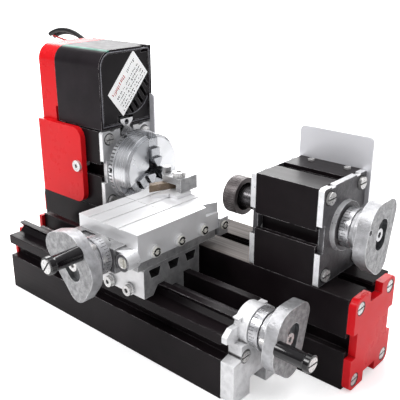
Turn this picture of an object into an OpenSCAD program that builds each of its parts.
// Benchtop mini metal lathe built from aluminium profiles: headstock with
// belt-driven spindle and three-jaw chuck, tailstock, long slide with saddle,
// cross slide with tool clamp.
// Frame: X along the spindle towards the tailstock (right), -Y is the operator's
// side (front), +Z up, Z = 0 is the resting plane, X = 0 is the middle of the bed
// and Y = 0 is the middle of the bed profile, straight below the spindle axis.

/* [Bed] */
// length of the bed profile
bed_l = 236; // [230:1:250]
// width of the shared profile section
prof_w = 40; // [39:0.5:42]
// height of the shared profile section
prof_h = 50; // [50:0.5:52]
// opening width of the profile grooves
slot_w = 8; // [6:0.5:9]

/* [Headstock and tailstock] */
// height of the spindle axis above the resting plane
axis_z = 77; // [76.5:0.25:78]
// length of the headstock and tailstock profile boxes
box_l = 35.4; // [34:0.2:36]
// thickness of the cast end plates
plate_t = 3; // [2.5:0.25:3]
// chuck outer radius
chuck_r = 23; // [21:0.5:23.5]

/* [Slides] */
// travel-wise length of the long slide profile
slide_l = 173; // [165:1:180]
// width of the cross slide table
table_w = 44; // [42:0.5:44]
// length of the cross slide table
table_l = 60; // [58:0.5:60]
// thickness of the cross slide table
table_t = 15; // [13:0.5:15.5]

/* [Handwheels] */
// radius of the graduated dials
dial_r = 10.2; // [9:0.1:10.4]
// thickness of the handwheel discs
wheel_t = 6.5; // [5:0.25:6.5]
// distance of the crank handle from the wheel axis
crank_r = 10.6; // [10.4:0.1:11.5]
// length of the crank handles
handle_l = 17.5; // [15:0.5:22]

/* [Drive] */
// width of the motor housing
motor_w = 42; // [40:0.5:42]
// height of the motor housing
motor_h = 47; // [45:0.5:48]
// radius of the spindle pulley
pulley_r = 17; // [14:0.5:18]
// radius of the motor pulley
pinion_r = 6; // [5:0.25:7]

/* [Hidden] */
$fn = 64;

// bed and profile boxes; x0 is the left end, x1 the right end
bed_x0 = -bed_l / 2;
bed_x1 = bed_l / 2;
half_w = prof_w / 2;
half_h = prof_h / 2;
head_x1 = -56;
head_x0 = head_x1 - box_l;
tail_x0 = 62.6;
tail_x1 = tail_x0 + box_l;
box_top = 2 * prof_h;
box_mid_z = 1.5 * prof_h;
// corner screw centres from the middle of the profile: Y, Z
corner_inset = 5.2;
corners = [for (i = [-1, 1], j = [-1, 1])
  [i * (half_w - corner_inset), j * (half_h - corner_inset)]];

// long slide and its leadscrew
slide_y = -45;
long_z = 34.5;
slide_x0 = -95;
slide_x1 = slide_x0 + slide_l;
slide_screw_u = 10.6;   // screw centres either side of the slide's middle
slide_screw_z = 23.2;

// cross slide: leadscrew and saddle centre, then the table block
cross_x = 12;
cross_z = 61.5;
table_x = 10;
table_x0 = table_x - table_w / 2;
table_x1 = table_x + table_w / 2;
table_y0 = -72;
table_y1 = table_y0 + table_l;
table_z0 = 59.5;
table_z1 = table_z0 + table_t;

// motor housing and motor axis
motor_x0 = -95;
motor_x1 = motor_x0 + motor_w;
motor_z0 = box_top + 1;
motor_z1 = motor_z0 + motor_h;
motor_axis_y = 1;
motor_axis_z = 124.5;

// leadscrews
leadscrew_r = 2.98;
leadscrew_tip_r = 1.95;
leadscrew_bore_r = 3.06;

// ---------- basic shapes ----------
// cylinder along +X starting at x
module cyl_x(x, length, radius, y = 0, z = 0)
  translate([x, y, z]) rotate([0, 90, 0]) cylinder(h = length, r = radius);
// cylinder along +X on the spindle axis
module spindle_cyl(x, length, radius) cyl_x(x, length, radius, 0, axis_z);
// cylinder along +Y starting at y
module cyl_y(y, length, radius, x = 0, z = 0)
  translate([x, y, z]) rotate([-90, 0, 0]) cylinder(h = length, r = radius);
// hexagon socket running from y towards the front
module hex_front(y, radius, x, z)
  translate([x, y, z]) rotate([90, 0, 0]) cylinder(h = 3, r = radius, $fn = 6);
// block between two opposite corners
module box(low, high) translate(low) cube(high - low);
// section drawn as (Y, Z), pushed along +X from x
module push_x(x, length) translate([x, 0, 0]) rotate([90, 0, 90]) linear_extrude(length) children();
// the same for a section drawn about the middle of the long slide
module push_slide(x, length) push_x(x, length) translate([slide_y, 0]) children();
// section drawn as (X, Z), pushed along +Y from y
module push_y(y, length)
  translate([0, y + length, 0]) rotate([90, 0, 0]) linear_extrude(length) children();
// centred rectangle with round corners
module round_rect(width, height, radius) {
  square([width - 2 * radius, height], center = true);
  square([width, height - 2 * radius], center = true);
  for (i = [-1, 1], j = [-1, 1])
    translate([i * (width / 2 - radius), j * (height / 2 - radius)]) circle(radius);
}
// closes a half outline with its mirror image about the vertical axis
function symmetric(half) =
  concat(half, [for (i = [len(half) - 1:-1:0]) [-half[i][0], half[i][1]]]);

// ---------- shared profile, caps, plates and keys ----------
// T groove, mouth at y = 0, running into -y
module t_groove_2d(mouth = slot_w, depth = 6.5, lip = 2.2) {
  inner_w = 12;
  translate([-mouth / 2, -depth]) square([mouth, depth + 1]);
  translate([-inner_w / 2, -depth]) square([inner_w, depth - lip]);
}
// profile section: T grooves, four corner screw holes, a core bore
module profile_2d(foot_groove = true) translate([0, half_h]) difference() {
  square([prof_w, prof_h], center = true);
  for (s = [-1, 1]) {
    translate([s * half_w, 0]) rotate(-90 * s) t_groove_2d();
    if (s > 0 || foot_groove)
      translate([0, s * half_h]) rotate(90 - 90 * s) t_groove_2d(mouth = 7);
  }
  circle(9);
  for (c = corners) translate(c) circle(1.75);
}
// end cap outline, notched at the grooves
module cap_2d(inset = 0) translate([0, half_h]) difference() {
  round_rect(prof_w - 2 * inset, prof_h - 2 * inset, 4);
  for (s = [-1, 1]) {
    translate([s * half_w - 4, -7]) square([8, 14]);
    translate([-6, s * half_h - 5.5]) square([12, 11]);
  }
  for (c = corners) translate(c) circle(2.1);
}
// cast end plate on a profile box: four corner tabs, waisted at both sides
module plate_2d(bore) difference() {
  translate([0, prof_h + half_h]) difference() {
    round_rect(prof_w, prof_h, 1.5);
    for (s = [-1, 1]) {
      translate([s * (half_w + 1), -0.5]) square([7, 14], center = true);
      // small step in the top edge
      translate([s * (half_w - 8.2), half_h]) square([3.4, 1.8], center = true);
    }
    for (c = corners) translate(c) circle(2.1);
  }
  translate([0, axis_z]) circle(bore);
}
// profile box section, standing on the bed, with a bore on the spindle axis
module box_section(bore) difference() {
  translate([0, prof_h]) profile_2d();
  translate([0, axis_z]) circle(bore);
}
// key for two facing grooves: waist between the lips; Y, Z from its middle
key_half = [[5.2, -5.2], [5.2, -3.3], [3.2, -2.8], [3.2, 2.8], [5.2, 3.3], [5.2, 5.2]];
// face of a key where it stands proud of the profiles
hourglass_half = [[5, -5], [5, -3.2], [1.95, 0], [5, 3.2], [5, 5]];
module key(x, length, z = prof_h, half = key_half)
  push_x(x, length) translate([0, z]) polygon(symmetric(half));

// ---------- screws and guards ----------
// slotted screw along +X, underside of the head at the origin
module slot_screw(length, head_r = 3, head_h = 1.6, shank_r = 1.7) difference() {
  overlap = 0.05;
  union() {
    cyl_x(-overlap, length, shank_r);
    cyl_x(-head_h, head_h, head_r);
  }
  translate([-head_h - 0.1, -head_r, -0.4]) cube([0.9, 2 * head_r, 0.8]);
}
// corner screws through both end plates of a profile box
module plate_screws(x0, x1, head_r) for (c = corners) {
  translate([x1 + plate_t, c[0], box_mid_z + c[1]]) mirror([1, 0, 0]) slot_screw(12, head_r);
  translate([x0 - plate_t, c[0], box_mid_z + c[1]]) slot_screw(12, head_r);
}
// rear guard sheet with its two screws; width along X, centre at x, z
guard_y = 20.2;
head_guard_screws = [-82, -64];
tail_guard_screws = [75, 89];
module guard_sheet(x, z, width, height, screw_xs) difference() {
  push_y(guard_y, 1) translate([x, z]) round_rect(width, height, 3);
  for (screw_x = screw_xs) cyl_y(guard_y - 1.2, 4, 1.6, screw_x, box_mid_z);
}
module guard_screws(screw_xs, tip_y) for (x = screw_xs) difference() {
  union() {
    cyl_y(tip_y, 21.3 - tip_y, 1.5, x, box_mid_z);
    cyl_y(21.25, 1.6, 2.8, x, box_mid_z);
  }
  translate([x - 3, 22.2, box_mid_z - 0.4]) cube([6, 1, 0.8]);
}

// ---------- handwheels, all built along +Z from the hub's back face ----------
handle_gap = 0.1;
// lopsided oval outline of the wheel disc, long axis along y
module wheel_2d() hull() {
  translate([-5, 12.6]) circle(7.4, $fn = 40);
  translate([-5.8, -11.2]) circle(6.4, $fn = 36);
  translate([0.6, 5]) circle(12, $fn = 64);
  translate([0.6, -4]) circle(12, $fn = 64);
}
// handwheel, handle hole at angle 0; without a handle it gets a small blind hole
module wheel(hub_l, handle = true) difference() {
  disc_turn = -11;
  front_z = hub_l + wheel_t;
  union() {
    translate([0, 0, hub_l]) rotate(disc_turn) linear_extrude(wheel_t) wheel_2d();
    cylinder(h = hub_l + 1, r = 9.6);
    translate([0, 0, hub_l - 2.2]) cylinder(h = 3, r = 11);
  }
  // recess around the hub screw
  translate([-1.2, 0, front_z - 2.4]) rotate(disc_turn) linear_extrude(3) union() {
    for (s = [-1, 1]) translate([0, s * 3.2]) circle(4.6);
    translate([-4.6, -3.2]) square([9.2, 6.4]);
  }
  translate([0, 0, -1]) cylinder(h = front_z + 2, r = 2.05);
  translate([0, 0, -1]) cylinder(h = hub_l - 1, r = 3.6);
  if (handle) translate([crank_r, 0, hub_l - 3]) cylinder(h = wheel_t + 4, r = 1.55);
  else rotate(-20) translate([crank_r + 0.6, 0, front_z - 4]) cylinder(h = 5, r = 1.3);
}
// crank handle in its place in front of the wheel disc
module crank_handle(hub_l) translate([crank_r, 0, hub_l + wheel_t + handle_gap]) difference() {
  body_r = 3.7;
  rim_r = 4.3;
  union() {
    cylinder(h = handle_l, r = body_r);
    translate([0, 0, handle_l - 3.2]) cylinder(h = 1.2, r1 = body_r, r2 = rim_r);
    translate([0, 0, handle_l - 2.05]) cylinder(h = 2.45, r = rim_r);
  }
  translate([0, 0, -1]) cylinder(h = handle_l + 3, r = 1.8);
  translate([0, 0, handle_l - 1.2]) cylinder(h = 4, r = 3.6);
}
// slotted handle screw
module handle_screw(hub_l) translate([crank_r, 0, hub_l]) difference() {
  union() {
    translate([0, 0, -2.9]) cylinder(h = wheel_t + handle_l + 2.1, r = 1.5);
    translate([0, 0, wheel_t + handle_l - 0.95]) cylinder(h = 1.9, r = 3.4);
  }
  translate([-4, -0.45, wheel_t + handle_l]) cube([8, 0.9, 2]);
}
// socket head screw in the middle of the wheel
module hub_screw(hub_l) translate([0, 0, hub_l]) difference() {
  union() {
    translate([0, 0, 1.2]) cylinder(h = wheel_t - 3.5, r = 1.95);
    translate([0, 0, wheel_t - 2.35]) cylinder(h = 1.9, r = 3.2);
  }
  translate([0, 0, wheel_t - 1.4]) cylinder(h = 3, r = 1.6, $fn = 6);
}
// graduated dial sleeve, every fifth mark longer
module dial(length) difference() {
  marks = 40;
  union() {
    cylinder(h = length, r = dial_r);
    translate([0, 0, length - 1]) cylinder(h = 1, r = dial_r + 0.3);
  }
  translate([0, 0, -1]) cylinder(h = length + 2, r = 3.4);
  for (i = [0:marks - 1]) rotate(i * 360 / marks)
    translate([dial_r - 0.3, -0.15, -1]) cube([1, 0.3, (i % 5 == 0 ? 3.6 : 2.6) + 1]);
}
// turns +Z to point along +X, or to the front on the cross leadscrew axis
module along_x(x, y, z) translate([x, y, z]) rotate([0, 90, 0]) rotate(90) children();
module along_front(y) translate([cross_x, y, cross_z]) rotate([90, 0, 0]) children();

// ---------- bed and long slide base ----------
cap_right_t = 4;
cap_left_t = 3;
cap_right_seat = bed_x1 + 2;      // floors of the screw head pockets
cap_left_seat = bed_x0 - 1.8;

module bed_extrusion() color([0.16, 0.15, 0.16])
  push_x(bed_x0, bed_l) profile_2d(foot_groove = false);

module bed_end_caps() color([0.86, 0.12, 0.14]) {
  difference() {
    push_x(bed_x1, cap_right_t) cap_2d();
    for (c = corners) cyl_x(cap_right_seat, 3, 3.3, c[0], half_h + c[1]);
  }
  difference() {
    push_x(bed_x0 - cap_left_t, cap_left_t) cap_2d(inset = 1.6);
    for (c = corners) cyl_x(cap_left_seat - 2.2, 2.2, 3.3, c[0], half_h + c[1]);
  }
}

bracket_seat = slide_x1 + 6.5;
module base_screws() color([0.75, 0.75, 0.77]) {
  for (c = corners) {
    translate([cap_right_seat, c[0], half_h + c[1]]) mirror([1, 0, 0]) slot_screw(12, 3.1, 1.8);
    translate([cap_left_seat, c[0], half_h + c[1]]) slot_screw(12, 3.1, 1.2);
  }
  for (s = [-1, 1]) translate([bracket_seat, slide_y + s * slide_screw_u, slide_screw_z])
    mirror([1, 0, 0]) slot_screw(19, 2.85, 1.9, 1.65);
}

// left half of the long slide section: Y from the slide's middle, Z
slide_half = [
  [-6, 5], [-6, 0], [-19.5, 0], [-19.5, 22], [-13.3, 22], [-13.3, 30], [-19.5, 30],
  [-19.5, 35.6], [-11.2, 35.6], [-8.9, 38.4], [-11.8, 42], [-7.5, 42], [-7.5, 29]];
module slide_base_extrusion() color([0.17, 0.16, 0.17]) push_slide(slide_x0, slide_l) difference() {
  polygon(symmetric(slide_half));
  translate([0, 13.4]) round_rect(22, 12, 3);
  for (s = [-1, 1]) translate([s * slide_screw_u, slide_screw_z]) circle(1.75);
}

// left end cap, its front rail shorter than the rear one: Y from the middle, Z
slide_cap_outline = [
  [-14.5, 2], [14.5, 2], [14.5, 34], [11, 34], [10.5, 41], [5.2, 41], [5.2, 28],
  [-5.2, 28], [-5.2, 37], [-10.5, 37], [-10.5, 34], [-14.5, 34]];
slide_cap_t = 2.6;
module slide_base_end_cap() color([0.86, 0.12, 0.14])
  push_slide(slide_x0 - slide_cap_t, slide_cap_t) polygon(slide_cap_outline);

// halves of the right bracket and of the arch between its feet: Y from the middle, Z
bracket_half = [
  [18.6, 0], [19.5, 1.2], [19.5, 21.4], [14, 22.8], [14, 30.2], [19.2, 31.2],
  [19.2, 34.6], [15.4, 37.6]];
arch_half = [[6.5, -1], [6.5, 8.5], [5.5, 9.5]];
// stub that closes one rail
rail_stub = [[7.6, 35], [11, 35], [8.9, 38.4], [11.6, 41.8], [7.6, 41.8]];
bracket_t = 8;
bracket_boss_r = 10.8;
module slide_base_bracket() color([0.82, 0.82, 0.83]) difference() {
  union() {
    push_slide(slide_x1, bracket_t) difference() {
      polygon(symmetric(bracket_half));
      polygon(symmetric(arch_half));
    }
    cyl_x(slide_x1, bracket_t, bracket_boss_r, slide_y, long_z);
    for (s = [-1, 1])
      push_slide(slide_x1, 4) polygon([for (p = rail_stub) [s * p[0], p[1]]]);
  }
  // upper corners stand back beside the boss
  for (s = [-1, 1]) difference() {
    translate([0, slide_y + s * 15, 0]) box([slide_x1 + 3.2, -5.5, 29.6], [slide_x1 + 9, 5.5, 39]);
    cyl_x(slide_x1, 12, bracket_boss_r, slide_y, long_z);
  }
  cyl_x(slide_x1 - 1, 13, leadscrew_bore_r, slide_y, long_z);
  for (s = [-1, 1]) {
    cyl_x(slide_x1 - 1, 14, 1.8, slide_y + s * slide_screw_u, slide_screw_z);
    cyl_x(bracket_seat, 4, 2.95, slide_y + s * slide_screw_u, slide_screw_z);
  }
}

module profile_connectors() color([0.62, 0.64, 0.67]) {
  // between headstock box and motor housing
  difference() {
    key_z = box_top + 0.5;
    union() {
      key(head_x1 - 24, 24.06, key_z);
      key(head_x1, plate_t + 0.2, key_z, hourglass_half);
    }
    cyl_x(head_x1 - 6, 12, 1.7, 0, box_top + 3.2);
  }
  // between bed top groove and headstock box
  key(head_x0 + 2, 30);
  key(head_x1 + plate_t + 0.4, 3);
  // T bars between the bed front groove and the long slide
  bar_l = 22;
  bar_y1 = -14.6;
  for (x = [-70, 30]) {
    box([x, slide_y + 13.4, 22.5], [x + bar_l, bar_y1, 28.5]);
    box([x, -17.5, 20], [x + bar_l, bar_y1, 30]);
  }
}

// ---------- headstock ----------
collar_r = 13.2;        // collars around the spindle bearings
collar_bore_r = 12;

module headstock_housing() color([0.15, 0.14, 0.15]) push_x(head_x0, box_l) box_section(13.4);

module bearing_collar(x, length) difference() {
  spindle_cyl(x, length, collar_r);
  spindle_cyl(x - 2, 14, collar_bore_r);
}
module headstock_plates() color([0.85, 0.85, 0.86]) {
  difference() {
    union() {
      push_x(head_x1, plate_t) plate_2d(9);
      bearing_collar(head_x1 - 7, 7 + plate_t + 1.2);
    }
    spindle_cyl(head_x1 - 1, 9, collar_bore_r);
    // notch for the key below the motor housing
    box([head_x1 - 1, -5.6, box_top - 5.4], [head_x1 + 8, 5.6, box_top + 1]);
  }
  difference() {
    union() {
      push_x(head_x0 - plate_t, plate_t) plate_2d(9);
      bearing_collar(head_x0 - plate_t, 7 + plate_t);
    }
    spindle_cyl(head_x0 - 8, 12, collar_bore_r);
  }
}

cover_screw_x = -73.4;
cover_mid_z = 76;
module belt_cover_screw() difference() {
  union() {
    cyl_y(-25.6, 1.6, 3.6, cover_screw_x, cover_mid_z);
    cyl_y(-24.6, 9, 1.65, cover_screw_x, cover_mid_z);
  }
  hex_front(-24.7, 1.5, cover_screw_x, cover_mid_z);
}
module headstock_screws() color([0.78, 0.78, 0.8]) {
  belt_cover_screw();
  plate_screws(head_x0, head_x1, 3);
  guard_screws(head_guard_screws, 14.1);
}

module spindle_bearings() color([0.8, 0.81, 0.83]) for (x = [head_x0 - 1, head_x1 - 4])
  difference() {
    spindle_cyl(x, 5, 11.95);
    spindle_cyl(x - 1, 7, 6.05);
  }

// the upper part is cut away except for a strip at the right
module headstock_guard() color([0.88, 0.88, 0.9]) difference() {
  guard_sheet(-70, 95, 41.6, 46, head_guard_screws);
  box([-96, 19, 100.6], [-52.9, 22, 120]);
}

// ---------- motor and belt drive ----------
// motor housing section (Y, Z): rounded upper front corner
module motor_2d(inset = 0) {
  y0 = -20 + inset;
  y1 = 22.5 - inset;
  z0 = motor_z0 + inset;
  z1 = motor_z1 - inset;
  corner_r = 10 - inset;
  translate([y0 + corner_r, z0]) square([y1 - y0 - corner_r, z1 - z0]);
  translate([y0, z0]) square([corner_r + 1, z1 - z0 - corner_r]);
  translate([y0 + corner_r, z1 - corner_r]) circle(corner_r);
}

module motor_housing() color([0.17, 0.16, 0.17]) difference() {
  push_x(motor_x0, motor_w) motor_2d();
  push_x(motor_x0 + 2, motor_w - 1) motor_2d(inset = 2.4);
  cyl_x(motor_x0 - 1, 4, 8, motor_axis_y, motor_axis_z);
  // groove that takes the connector
  push_x(motor_x0 - 1, motor_w + 2) translate([0, motor_z0]) rotate(180)
    t_groove_2d(mouth = 7, depth = 5.6, lip = 1.1);
  // notch in the top edge at the right end
  box([motor_x1 - 5, 15, motor_z1 - 3.4], [motor_x1 + 1, 19.5, motor_z1 + 1]);
}

// reach of each slanted slot, front to rear
vent_reach = [3.8, 6.8, 8.4, 9.2, 9.2, 5.8];
module motor_side_panel() color([0.13, 0.12, 0.13]) difference() {
  push_x(motor_x1 - 2.2, 1.6) difference() {
    motor_2d(inset = 2.5);
    translate([-6.2, motor_z0 - 1]) square([12.4, 7.6]);
    translate([14.4, motor_z1 - 4]) square([5.6, 5]);
  }
  for (i = [0:len(vent_reach) - 1])
    translate([motor_x1 - 4, 0.1 + i * 3.2, motor_z0 + 8.4 + i * 3.7]) rotate([-56, 0, 0])
      translate([0, -2, -1.1]) cube([6, 2 + vent_reach[i], 2.2]);
}

motor_shaft_r = 1.58;
module motor_can() color([0.55, 0.56, 0.58]) difference() {
  union() {
    cyl_x(motor_x0 + 2.4, 33, 17.6, motor_axis_y, motor_axis_z);
    cyl_x(motor_x0 - 0.4, 3, 7.6, motor_axis_y, motor_axis_z);
  }
  cyl_x(motor_x0 - 1, 38, 1.62, motor_axis_y, motor_axis_z);
}

// twin lead arching to the left from the belt cover; each row: Y, arc radius
cable_leads = [[18.2, 39.8], [21.2, 38]];
module power_cable() color([0.1, 0.1, 0.1]) for (lead = cable_leads)
  translate([-133, lead[0], 112]) rotate([90, 0, 0]) rotate(54)
    rotate_extrude(angle = 62) translate([lead[1], 0]) circle(1.5);

cover_x0 = -111.5;
cover_inner_x0 = -109.5;
// front outline of the lower cover, X and Z from its own origin
module cover_front_2d() translate([-91.3, cover_mid_z]) {
  translate([-20.5, -24.5]) square([34, 49]);
  translate([0, -17.5]) square([22.1, 35]);
  translate([0, -24.5]) square([15.1, 49]);
  for (j = [-1, 1]) translate([15.1, j * 17.5]) circle(7);
}
module belt_cover() color([0.88, 0.13, 0.15]) difference() {
  union() {
    // lower part over the headstock's end, wraps its front
    push_y(-24, 48) cover_front_2d();
    // upper part, same outline as the motor housing
    push_x(cover_x0, 16.3) motor_2d();
    box([cover_x0, -20, 95], [-95.2, 22.5, motor_z0 + 1]);
  }
  // room for the headstock box, its left plate and the pulleys
  box([head_x0 - 6, -20.3, 49], [-60, 30, 110]);
  box([-109.6, -22, 49], [head_x0 - 5.9, 21.8, 98.8]);
  push_x(cover_inner_x0, 20) motor_2d(inset = 2);
  box([cover_inner_x0, -18, 90], [-90, 20.5, motor_z0 + 6]);
  // screw hole in the front, round hole high in the left wall
  cyl_y(-26, 8, 1.7, cover_screw_x, cover_mid_z);
  cyl_x(-113, 6, 5.2, 19.6, 143.5);
}

// outline around both pulleys, offset from their radii
module belt_2d(rise) hull() {
  translate([0, axis_z]) circle(pulley_r + rise, $fn = 48);
  translate([motor_axis_y, motor_axis_z]) circle(pinion_r + rise, $fn = 32);
}
module drive_belt() color([0.12, 0.12, 0.12]) difference() {
  push_x(-104.2, 4) belt_2d(1.0);
  push_x(-106, 8) belt_2d(-0.6);
}

// two-flanged pulley; the belt runs between X = -105 and X = -99.4
module pulley(radius, flange_t, flange_rise, bore_r, y, z) difference() {
  union() {
    cyl_x(-105 - flange_t, flange_t, radius + flange_rise, y, z);
    cyl_x(-105.1, 5.8, radius - 0.65, y, z);
    cyl_x(-99.4, flange_t, radius + flange_rise, y, z);
  }
  cyl_x(-110, 20, bore_r, y, z);
}
module motor_shaft() color([0.75, 0.75, 0.77])
  cyl_x(-106, 46, motor_shaft_r, motor_axis_y, motor_axis_z);
module motor_pulley() color([0.2, 0.2, 0.21])
  pulley(pinion_r, 1.2, 1.4, motor_shaft_r, motor_axis_y, motor_axis_z);

// ---------- spindle and chuck ----------
spindle_r = 6;
chuck_x0 = -46;         // left face of chuck and ring
chuck_hub_r = 12;

module spindle_shaft() color([0.72, 0.73, 0.75]) difference() {
  union() {
    spindle_cyl(-107.5, 64.5, spindle_r);
    spindle_cyl(head_x1 + 4.9, 2.4, 8.5);
    spindle_cyl(-47, 6, 7);
  }
  spindle_cyl(-109, 72, 3);
}
module spindle_pulley() color([0.2, 0.2, 0.21]) pulley(pulley_r, 1.6, 1.6, spindle_r, 0, axis_z);

// turns children (drawn from the spindle axis, radial along +Z) about the axis
module around_spindle(angle) translate([0, 0, axis_z]) rotate([angle, 0, 0]) children();

module chuck_body() color([0.9, 0.9, 0.91]) difference() {
  union() {
    spindle_cyl(chuck_x0, 12, chuck_hub_r);
    spindle_cyl(-41.8, 9.8, chuck_r - 1);
    translate([-32, 0, axis_z]) rotate([0, 90, 0])
      cylinder(h = 2, r1 = chuck_r - 1, r2 = chuck_r - 2.8);
  }
  spindle_cyl(chuck_x0 - 1, 6.1, 7.04);
  spindle_cyl(-48, 30, 4.5);
  // jaw slots
  for (k = [0:2]) around_spindle(120 * k) box([-38.3, -3.6, 1.2], [-28, 3.6, 30]);
}
// ring with a grooved edge and six radial holes
module chuck_ring() color([0.86, 0.86, 0.87]) difference() {
  spindle_cyl(chuck_x0, 4.05, chuck_r - 0.6);
  spindle_cyl(chuck_x0 - 1, 10, chuck_hub_r + 0.06);
  for (i = [0:59]) around_spindle(i * 6)
    translate([chuck_x0 - 1, 0, chuck_r - 0.9]) cube([4, 0.9, 1]);
  for (i = [0:5]) around_spindle(i * 60 + 25)
    translate([-43.9, 0, chuck_r - 4.5]) cylinder(h = 6, r = 1.3);
}

// steps of a jaw: left X, right X, outer radius
jaw_steps = [[-38.1, -30, 19.4], [-30.1, -27.6, 14], [-27.7, -25.5, 8.5]];
// wedge that points the inner tip: radius, Y
jaw_wedge = [[1.2, 0], [12, 6.3], [30, 6.3], [30, -6.3], [12, -6.3]];
module jaw(k) color([0.8, 0.81, 0.83]) around_spindle(120 * k) intersection() {
  union() for (step = jaw_steps) box([step[0], -3.5, 3], [step[1], 3.5, step[2]]);
  translate([-50, 0, 0]) rotate([0, 90, 0]) rotate(180) linear_extrude(40) polygon(jaw_wedge);
}
module chuck_jaw_1() jaw(0);
module chuck_jaw_2() jaw(1);
module chuck_jaw_3() jaw(2);

// ---------- tailstock ----------
edge_screw_xs = [71.5, 92.5];   // small screws along the upper rear edge
edge_screw_y = 15.4;

module tailstock_housing() color([0.16, 0.15, 0.16]) difference() {
  push_x(tail_x0, box_l) box_section(9);
  for (x = edge_screw_xs) translate([x, edge_screw_y, box_top - 3.05]) cylinder(h = 4, r = 1.25);
}
module tailstock_plates() color([0.8, 0.8, 0.81]) {
  difference() {
    union() {
      push_x(tail_x1, plate_t) plate_2d(5);
      spindle_cyl(tail_x1, plate_t + 2.6, 12.6);
      spindle_cyl(tail_x1 - 4, 5, 8.8);
    }
    spindle_cyl(tail_x1 - 6, 14, leadscrew_bore_r);
  }
  difference() {
    union() {
      push_x(tail_x0 - plate_t, plate_t) plate_2d(5);
      spindle_cyl(tail_x0 - plate_t, plate_t + 10, 8.8);
    }
    spindle_cyl(tail_x0 - plate_t - 1, 20, 6.05);
  }
}
module tailstock_screws() color([0.8, 0.8, 0.8]) {
  plate_screws(tail_x0, tail_x1, 3.1);
  guard_screws(tail_guard_screws, 14);
  for (x = edge_screw_xs) difference() {
    union() {
      translate([x, edge_screw_y, box_top]) cylinder(h = 0.9, r = 1.7);
      translate([x, edge_screw_y, box_top - 3]) cylinder(h = 3.2, r = 1.2);
    }
    translate([x - 3, edge_screw_y - 0.3, box_top + 0.45]) cube([6, 0.6, 1]);
  }
}
module tailstock_guard() color([0.88, 0.88, 0.9]) guard_sheet(82, 96.5, 42, 40, tail_guard_screws);
module tailstock_connectors() color([0.3, 0.3, 0.31]) {
  key(tail_x0 + 2, 12);
  key(tail_x1 - 8, 8);
}

cap_x1 = 41.5;          // right end of the quill cap
quill_x0 = cap_x1 - 5.2;
centre_r = 2.36;
module quill() color([0.78, 0.79, 0.81]) difference() {
  spindle_cyl(quill_x0, 87.5 - quill_x0, 6);
  spindle_cyl(cap_x1 + 16, 60, leadscrew_bore_r);
  spindle_cyl(cap_x1 - 8, 20, 2.42);
}
module quill_cap() color([0.35, 0.33, 0.34]) difference() {
  spindle_cyl(cap_x1 - 8, 8, 10.4);
  spindle_cyl(quill_x0, 8, 7.8);
  spindle_cyl(cap_x1 - 10, 12, 3.4);
  for (i = [0:47]) around_spindle(i * 7.5)
    translate([cap_x1 - 7.2, -0.25, 10.1]) cube([6.4, 0.5, 1]);
}
module live_centre() color([0.82, 0.83, 0.85]) {
  spindle_cyl(cap_x1 - 10.5, 20, centre_r);
  translate([cap_x1 - 13.5, 0, axis_z]) rotate([0, 90, 0])
    cylinder(h = 3.05, r1 = 0.2, r2 = centre_r);
}

tail_hub_l = 4.8;
module at_tail_wheel() along_x(tail_x1 + 11.3, 0, axis_z) rotate(177) children();
module tail_leadscrew() color([0.7, 0.7, 0.72]) {
  spindle_cyl(tail_x0 + 1.9, box_l + 12.15, leadscrew_r);
  spindle_cyl(tail_x1 + 14, 3.1, leadscrew_tip_r);
  at_tail_wheel() hub_screw(tail_hub_l);
}
module tail_dial() color([0.86, 0.86, 0.87]) along_x(tail_x1 + 6.2, 0, axis_z) dial(5);
module tail_handwheel() color([0.8, 0.79, 0.78]) at_tail_wheel() wheel(tail_hub_l, handle = false);

// ---------- long slide drive ----------
long_hub_l = 5;
module at_long_wheel() along_x(slide_x1 + 14, slide_y, long_z) rotate(176) children();
module long_leadscrew() color([0.7, 0.7, 0.72]) {
  cyl_x(slide_x0 + 7, slide_l + 10, leadscrew_r, slide_y, long_z);
  cyl_x(slide_x1 + 16.9, 3, leadscrew_tip_r, slide_y, long_z);
}
module long_dial() color([0.86, 0.86, 0.87]) along_x(slide_x1 + 8.4, slide_y, long_z) dial(5.3);
module long_handwheel() color([0.8, 0.79, 0.78]) at_long_wheel() wheel(long_hub_l);
module long_handle() color([0.08, 0.08, 0.09]) at_long_wheel() crank_handle(long_hub_l);
module long_wheel_screws() color([0.8, 0.8, 0.8]) at_long_wheel() {
  handle_screw(long_hub_l);
  hub_screw(long_hub_l);
}

// ---------- saddle ----------
saddle_l = 36;
saddle_x0 = cross_x - saddle_l / 2;
saddle_screw_xs = [cross_x - 7, cross_x + 7.5];
saddle_screw_z = 39.6;
// saddle section: Y from the slide's middle, Z
saddle_outline = [
  [-22, 37.2], [-15.8, 37.2], [-12.3, 42.2], [-6.9, 42.2], [-6.9, 30.2], [6.9, 30.2],
  [6.9, 42.2], [12.3, 42.2], [15.8, 37.2], [19.3, 37.2], [19.3, 54], [-20, 54], [-22, 52.4]];
// half of the guide that carries the table: X from cross_x, Z
guide_half = [[6.8, 53.9], [6.8, 60.5], [8.2, 65.8]];
// window through the end walls: Y from the window's own place, Z
window_outline = [[1.6, 47.2], [6.8, 47.2], [8.4, 52], [0, 52]];

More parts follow.
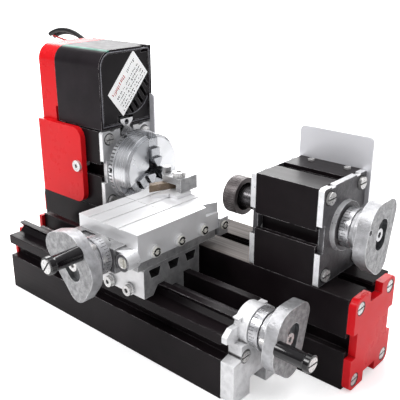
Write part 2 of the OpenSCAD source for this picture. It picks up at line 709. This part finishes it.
module saddle() color([0.88, 0.88, 0.89]) difference() {
  union() {
    push_slide(saddle_x0, saddle_l) polygon(saddle_outline);
    push_y(-57, 30) translate([cross_x, 0]) polygon(symmetric(guide_half));
    // round pads around the front screws
    for (x = saddle_screw_xs) cyl_y(slide_y - 22.9, 4, 3.4, x, 39.9);
  }
  for (window_y = [-18.4, -4.7, 8.2], s = [0, 1])
    push_slide(saddle_x0 - 1 + s * 30, 8) translate([window_y, 0]) polygon(window_outline);
  // screw bores, nut pockets
  cyl_x(saddle_x0 - 1, 40, 3.3, slide_y, long_z);
  box([cross_x - 6, slide_y - 4.6, 29], [cross_x + 6, slide_y + 4.6, long_z + 4.6]);
  cyl_y(-60, 40, 3.3, cross_x, cross_z);
  cyl_y(-48, 12, 4, cross_x, cross_z);
  for (x = saddle_screw_xs) cyl_y(slide_y - 24, 8, 1.7, x, saddle_screw_z);
}
module saddle_screws() color([0.8, 0.8, 0.8]) for (x = saddle_screw_xs) difference() {
  union() {
    cyl_y(slide_y - 23.4, 6.9, 1.65, x, saddle_screw_z);
    cyl_y(slide_y - 24.9, 2, 2.9, x, saddle_screw_z);
  }
  hex_front(slide_y - 23.9, 1.4, x, saddle_screw_z);
}
module carriage_nuts() color([0.78, 0.62, 0.3]) {
  nut_bore_r = 3.05;
  difference() {
    box([cross_x - 5.9, slide_y - 4.5, 30.6], [cross_x + 5.9, slide_y + 4.5, long_z + 4.5]);
    cyl_x(cross_x - 8, 16, nut_bore_r, slide_y, long_z);
  }
  difference() {
    cyl_y(-47.9, 11.8, 3.95, cross_x, cross_z);
    cyl_y(-50, 16, nut_bore_r, cross_x, cross_z);
  }
}

// ---------- cross slide ----------
gib_screw_ys = [for (i = [0:2]) table_y0 + 11 + 18 * i];
gib_screw_z = 62.7;
rear_screw_y = table_y1 + 3.5;
rear_screw_z = 60.6;
arm_x = cross_x + 17.2;         // clamping screw in the bracket's right arm
arm_z = 62;
arm_r = 4.6;
post_x = 5.6;                   // tool post bolt
post_y = table_y1 - 2.9;
post_bore_r = 2.05;
// half of the guide slot under the table: X from cross_x, Z
table_slot_half = [[7.1, table_z0 - 1], [7.1, 60.6], [8.6, 66.2]];

module cross_table() color([0.9, 0.9, 0.91]) difference() {
  union() {
    box([table_x0, table_y0, table_z0], [table_x1, table_y1, table_z1]);
    // pads around the gib screws, flat below
    for (y = gib_screw_ys) difference() {
      cyl_x(table_x1 - 1, 2.2, 3.4, y, 62.9);
      box([table_x1 - 2, y - 4, 58], [table_x1 + 2, y + 4, table_z0]);
    }
  }
  push_y(table_y0 - 1, table_l + 2) translate([cross_x, 0]) polygon(symmetric(table_slot_half));
  // shallow wide grooves along the top, one scribed line across them
  for (x = [table_x - 13, table_x - 3, table_x + 9])
    box([x - 1.2, table_y0 - 1, table_z1 - 0.4], [x + 1.2, table_y1 + 1, table_z1 + 1]);
  box([table_x0 - 1, -40.2, table_z1 - 0.3], [table_x1 + 1, -39.8, table_z1 + 1]);
  // seat of the tool post bolt
  translate([post_x, post_y, table_z1 - 7]) cylinder(h = 9, r = post_bore_r);
  // relief at the rear right corner
  translate([table_x1 - 4, table_y1 - 9, table_z1 - 5.5]) rotate([0, 0, -20]) cube([9, 16, 7]);
  for (y = gib_screw_ys) cyl_x(table_x1 - 6, 9, 1.3, y, gib_screw_z);
}
module cross_gib() color([0.22, 0.22, 0.23])
  box([table_x1 - 5.5, table_y0 + 0.8, 54.2], [table_x1 - 1.4, table_y1 - 1, table_z0 - 0.01]);

module cross_bracket() color([0.8, 0.8, 0.8]) difference() {
  union() {
    box([table_x0 + 0.5, table_y0 - 7.8, 54.3], [table_x1 + 1, table_y0, 67.5]);
    // round boss behind the dial, flat below
    difference() {
      cyl_y(table_y0 - 8.2, 3, 9.5, cross_x, cross_z);
      box([cross_x - 11, table_y0 - 9, 50], [cross_x + 11, table_y0 - 5, 54.3]);
    }
    cyl_y(table_y0 - 7.6, 7.6, arm_r, arm_x, arm_z);
  }
  // the right end is a round-ended arm that carries the clamping screw
  difference() {
    box([cross_x + 11.5, table_y0 - 9, 50], [table_x1 + 2, table_y0 + 0.01, 69]);
    box([cross_x + 11, table_y0 - 6.8, arm_z - arm_r], [arm_x, table_y0 + 1, arm_z + arm_r]);
    cyl_y(table_y0 - 8, 9, arm_r, arm_x, arm_z);
  }
  cyl_y(table_y0 - 12, 14, leadscrew_bore_r, cross_x, cross_z);
  // two pockets in the top edge
  for (x = [cross_x - 18, cross_x - 6.5])
    box([x, table_y0 - 6, 66], [x + 9, table_y0 - 1.6, 69]);
  cyl_y(table_y0 - 11, 8, 2.9, arm_x, arm_z);
}
module cross_rear_plate() color([0.82, 0.82, 0.82]) difference() {
  box([table_x0 - 1, table_y1, 55], [table_x1 + 1.2, table_y1 + 7, 65]);
  cyl_y(table_y1 - 1, 4, 3.3, cross_x, cross_z);
  cyl_x(table_x1 - 6, 9, 1.3, rear_screw_y, rear_screw_z);
}

// slotted screw in the right side of the table
module table_screw(y, z, head_h) difference() {
  head_x = table_x1 + 1.25;
  union() {
    cyl_x(table_x1 - 5.8, 7.2, 1.25, y, z);
    cyl_x(head_x, head_h, 2.6, y, z);
  }
  translate([head_x + head_h - 0.55, y - 3, z - 0.4]) cube([2, 6, 0.8]);
}
module cross_screws() color([0.8, 0.8, 0.8]) {
  for (y = gib_screw_ys) table_screw(y, gib_screw_z, 0.9);
  table_screw(rear_screw_y, rear_screw_z, 1.2);
  // slotted clamping screw in the bracket
  difference() {
    cyl_y(table_y0 - 7, 3.8, 2.85, arm_x, arm_z);
    translate([arm_x - 0.5, table_y0 - 8, 58]) cube([1, 2.2, 8]);
  }
}

cross_hub_l = 4.3;
module at_cross_wheel() along_front(table_y0 - 13.9) rotate(52) children();
module cross_leadscrew() color([0.7, 0.7, 0.72]) {
  cyl_y(table_y0 - 16, table_l + 14, leadscrew_r, cross_x, cross_z);
  cyl_y(table_y0 - 18.6, 2.7, leadscrew_tip_r, cross_x, cross_z);
}
module cross_dial() color([0.86, 0.86, 0.87]) along_front(table_y0 - 8.5) dial(5.2);
module cross_handwheel() color([0.8, 0.79, 0.78]) at_cross_wheel() wheel(cross_hub_l);
module cross_handle() color([0.08, 0.08, 0.09]) at_cross_wheel() crank_handle(cross_hub_l);
module cross_wheel_screws() color([0.8, 0.8, 0.8]) at_cross_wheel() {
  handle_screw(cross_hub_l);
  hub_screw(cross_hub_l);
}

// ---------- tool post ----------
post_z0 = table_z1 + 0.02;
// wedge under the front of the tool: X, Y
wedge_outline = [[0.4, -32], [6.5, -24.5], [6.5, -23], [1.7, -23], [0.2, -26]];
// bit seen from above, before it is turned: X, Y
bit_outline = [[0, 0.5], [0, 27], [-4, 24], [-4, 2.5]];

module tool_post_base() color([0.84, 0.84, 0.85]) difference() {
  union() {
    box([1.6, -24, post_z0], [12.6, -12.2, table_z1 + 2]);
    translate([0, 0, post_z0]) linear_extrude(1.9) polygon(wedge_outline);
  }
  translate([post_x, post_y, table_z1 - 1]) cylinder(h = 6, r = post_bore_r);
}
module tool_clamp() color([0.78, 0.79, 0.81]) difference() {
  union() {
    box([-3, -19.5, table_z1 + 6.1], [11, -6, table_z1 + 9.9]);
    box([7.9, -19.5, table_z1 + 2.02], [11, -6, table_z1 + 6.2]);
    // upright pin on a lug at the left
    translate([-5.4, -13.4, table_z1 + 3]) cylinder(h = 10, r = 2.5);
    box([-6, -15, table_z1 + 6.3], [-2.5, -11.8, table_z1 + 9]);
  }
  translate([post_x, post_y, table_z1]) cylinder(h = 14, r = post_bore_r);
}
module tool_bolt() color([0.75, 0.76, 0.78]) translate([post_x, post_y, table_z1]) {
  translate([0, 0, -6.5]) cylinder(h = 17, r = 2);
  difference() {
    translate([0, 0, 9.92]) cylinder(h = 2.6, r = 3.6);
    translate([0, 0, 11]) cylinder(h = 3, r = 1.7, $fn = 6);
  }
}
// square bit turned about Z, both ends oblique, top sloped at the rear end
module tool_bit() color([0.55, 0.42, 0.3])
  translate([-3.2, -30.5, table_z1 + 2.02]) rotate(-21) difference() {
    linear_extrude(4) polygon(bit_outline);
    translate([-5, 21, 1]) rotate([10, 0, 0]) cube([8, 9, 6]);
  }

bed_extrusion();
bed_end_caps();
base_screws();
slide_base_extrusion();
slide_base_end_cap();
slide_base_bracket();
profile_connectors();
headstock_housing();
headstock_plates();
headstock_screws();
spindle_bearings();
headstock_guard();
motor_housing();
motor_side_panel();
motor_can();
power_cable();
belt_cover();
drive_belt();
spindle_shaft();
spindle_pulley();
chuck_body();
chuck_ring();
chuck_jaw_1();
chuck_jaw_2();
chuck_jaw_3();
motor_shaft();
motor_pulley();
tailstock_housing();
tailstock_plates();
tailstock_screws();
tailstock_guard();
tailstock_connectors();
quill();
quill_cap();
live_centre();
tail_leadscrew();
tail_dial();
tail_handwheel();
long_leadscrew();
long_dial();
long_handwheel();
long_handle();
long_wheel_screws();
saddle();
saddle_screws();
carriage_nuts();
cross_table();
cross_gib();
cross_bracket();
cross_rear_plate();
cross_screws();
cross_leadscrew();
cross_dial();
cross_handwheel();
cross_handle();
cross_wheel_screws();
tool_post_base();
tool_clamp();
tool_bit();
tool_bolt();
